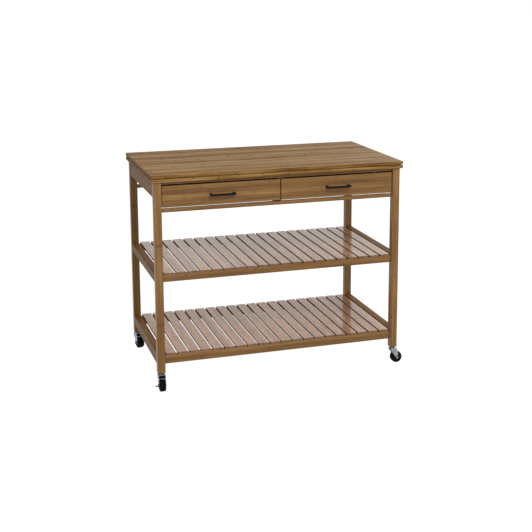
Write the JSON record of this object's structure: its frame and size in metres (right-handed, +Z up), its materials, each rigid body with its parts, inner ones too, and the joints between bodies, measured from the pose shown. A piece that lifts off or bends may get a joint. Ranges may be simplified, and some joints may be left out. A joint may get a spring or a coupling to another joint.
{
  "type": "rolling utility cart",
  "caption": "Bamboo rolling kitchen cart with a two-layer worktop, two side-by-side drawers with bar handles, slatted shelves and braked swivel casters.",
  "frame": {"origin": "on the floor under the middle of the whole cart", "axes": "+X along the long side, +Y from the drawer side to the back, +Z up"},
  "size_m": [1.1029, 0.6387, 0.9],
  "materials": {
    "bamboo_top": "satin varnish on caramelised bamboo strips",
    "bamboo_frame": "satin varnish on caramelised bamboo strips",
    "bamboo_legs": "satin varnish on caramelised bamboo strips",
    "bamboo_slats": "glossy varnish on caramelised bamboo strips",
    "drawer_panel": "thin bamboo ply, light varnish",
    "black_metal": "matt black powder coat",
    "black_collar": "black oxide",
    "zinc_steel": "bright zinc plate",
    "dark_steel": "dull zinc plate",
    "screw_steel": "zinc plate",
    "caster_plastic": "black polypropylene"
  },
  "bodies": {
    "cart": {"apron_back": "bamboo_frame", "apron_left": "bamboo_frame", "apron_right": "bamboo_frame", "drawer_divider": "bamboo_frame", "drawer_runners": "bamboo_frame", "leg_back_left": "bamboo_legs", "leg_back_right": "bamboo_legs", "leg_front_left": "bamboo_legs", "leg_front_right": "bamboo_legs", "rail_back_lower": "bamboo_frame", "rail_front_lower": "bamboo_frame", "rail_front_upper": "bamboo_frame", "shelf_lower_back_rail": "bamboo_frame", "shelf_lower_front_rail": "bamboo_frame", "shelf_lower_left_rail": "bamboo_frame", "shelf_lower_right_rail": "bamboo_frame", "shelf_lower_slats": "bamboo_slats", "shelf_middle_back_rail": "bamboo_frame", "shelf_middle_front_rail": "bamboo_frame", "shelf_middle_left_rail": "bamboo_frame", "shelf_middle_right_rail": "bamboo_frame", "shelf_middle_slats": "bamboo_slats", "top_lower_board": "bamboo_top", "top_screws": "screw_steel", "top_upper_board": "bamboo_top", "caster_back_left_mount": "black_collar", "caster_back_right_mount": "black_collar", "caster_front_left_mount": "black_collar", "caster_front_right_mount": "black_collar"},
    "drawer_left": {"drawer_left_back": "bamboo_frame", "drawer_left_bottom": "drawer_panel", "drawer_left_front": "bamboo_frame", "drawer_left_handle": "black_metal", "drawer_left_handle_screws": "screw_steel", "drawer_left_inner_side": "bamboo_frame", "drawer_left_outer_side": "bamboo_frame"},
    "drawer_right": {"drawer_right_back": "bamboo_frame", "drawer_right_bottom": "drawer_panel", "drawer_right_front": "bamboo_frame", "drawer_right_handle": "black_metal", "drawer_right_handle_screws": "screw_steel", "drawer_right_inner_side": "bamboo_frame", "drawer_right_outer_side": "bamboo_frame"},
    "swivel_front_left": {"caster_front_left_fork": "zinc_steel", "caster_front_left_axle": "zinc_steel"},
    "wheel_front_left": {"caster_front_left_wheel": "caster_plastic"},
    "lever_front_left": {"caster_front_left_brake_lever": "dark_steel"},
    "swivel_front_right": {"caster_front_right_fork": "zinc_steel", "caster_front_right_axle": "zinc_steel"},
    "wheel_front_right": {"caster_front_right_wheel": "caster_plastic"},
    "lever_front_right": {"caster_front_right_brake_lever": "dark_steel"},
    "swivel_back_left": {"caster_back_left_fork": "zinc_steel", "caster_back_left_axle": "zinc_steel"},
    "wheel_back_left": {"caster_back_left_wheel": "caster_plastic"},
    "lever_back_left": {"caster_back_left_brake_lever": "dark_steel"},
    "swivel_back_right": {"caster_back_right_fork": "zinc_steel", "caster_back_right_axle": "zinc_steel"},
    "wheel_back_right": {"caster_back_right_wheel": "caster_plastic"},
    "lever_back_right": {"caster_back_right_brake_lever": "dark_steel"}
  },
  "joints": [
    {"name": "drawer_left_slide", "type": "slide", "parent": "cart", "child": "drawer_left", "axis": [0, -1, 0], "range_m": [0, 0.3]},
    {"name": "drawer_right_slide", "type": "slide", "parent": "cart", "child": "drawer_right", "axis": [0, -1, 0], "range_m": [0, 0.3]},
    {"name": "swivel_front_left", "type": "hinge", "parent": "cart", "child": "swivel_front_left", "pos_m": [-0.514, -0.276, 0.07], "axis": [0, 0, 1], "continuous": true},
    {"name": "wheel_front_left_spin", "type": "hinge", "parent": "swivel_front_left", "child": "wheel_front_left", "pos_m": [-0.514, -0.294, 0.025], "axis": [1, 0, 0], "continuous": true},
    {"name": "brake_front_left", "type": "hinge", "parent": "swivel_front_left", "child": "lever_front_left", "pos_m": [-0.514, -0.294, 0.025], "axis": [1, 0, 0], "range_deg": [0, 22]},
    {"name": "swivel_front_right", "type": "hinge", "parent": "cart", "child": "swivel_front_right", "pos_m": [0.514, -0.276, 0.07], "axis": [0, 0, 1], "continuous": true},
    {"name": "wheel_front_right_spin", "type": "hinge", "parent": "swivel_front_right", "child": "wheel_front_right", "pos_m": [0.532, -0.276, 0.025], "axis": [0, 1, 0], "continuous": true},
    {"name": "brake_front_right", "type": "hinge", "parent": "swivel_front_right", "child": "lever_front_right", "pos_m": [0.532, -0.276, 0.025], "axis": [0, 1, 0], "range_deg": [0, 22]},
    {"name": "swivel_back_left", "type": "hinge", "parent": "cart", "child": "swivel_back_left", "pos_m": [-0.514, 0.276, 0.07], "axis": [0, 0, 1], "continuous": true},
    {"name": "wheel_back_left_spin", "type": "hinge", "parent": "swivel_back_left", "child": "wheel_back_left", "pos_m": [-0.50844, 0.25888, 0.025], "axis": [0.9511, 0.309, 0], "continuous": true},
    {"name": "brake_back_left", "type": "hinge", "parent": "swivel_back_left", "child": "lever_back_left", "pos_m": [-0.50844, 0.25888, 0.025], "axis": [0.9511, 0.309, 0], "range_deg": [0, 22]},
    {"name": "swivel_back_right", "type": "hinge", "parent": "cart", "child": "swivel_back_right", "pos_m": [0.514, 0.276, 0.07], "axis": [0, 0, 1], "continuous": true},
    {"name": "wheel_back_right_spin", "type": "hinge", "parent": "swivel_back_right", "child": "wheel_back_right", "pos_m": [0.51774, 0.29361, 0.025], "axis": [-0.9781, 0.2079, 0], "continuous": true},
    {"name": "brake_back_right", "type": "hinge", "parent": "swivel_back_right", "child": "lever_back_right", "pos_m": [0.51774, 0.29361, 0.025], "axis": [-0.9781, 0.2079, 0], "range_deg": [0, 22]}
  ]
}
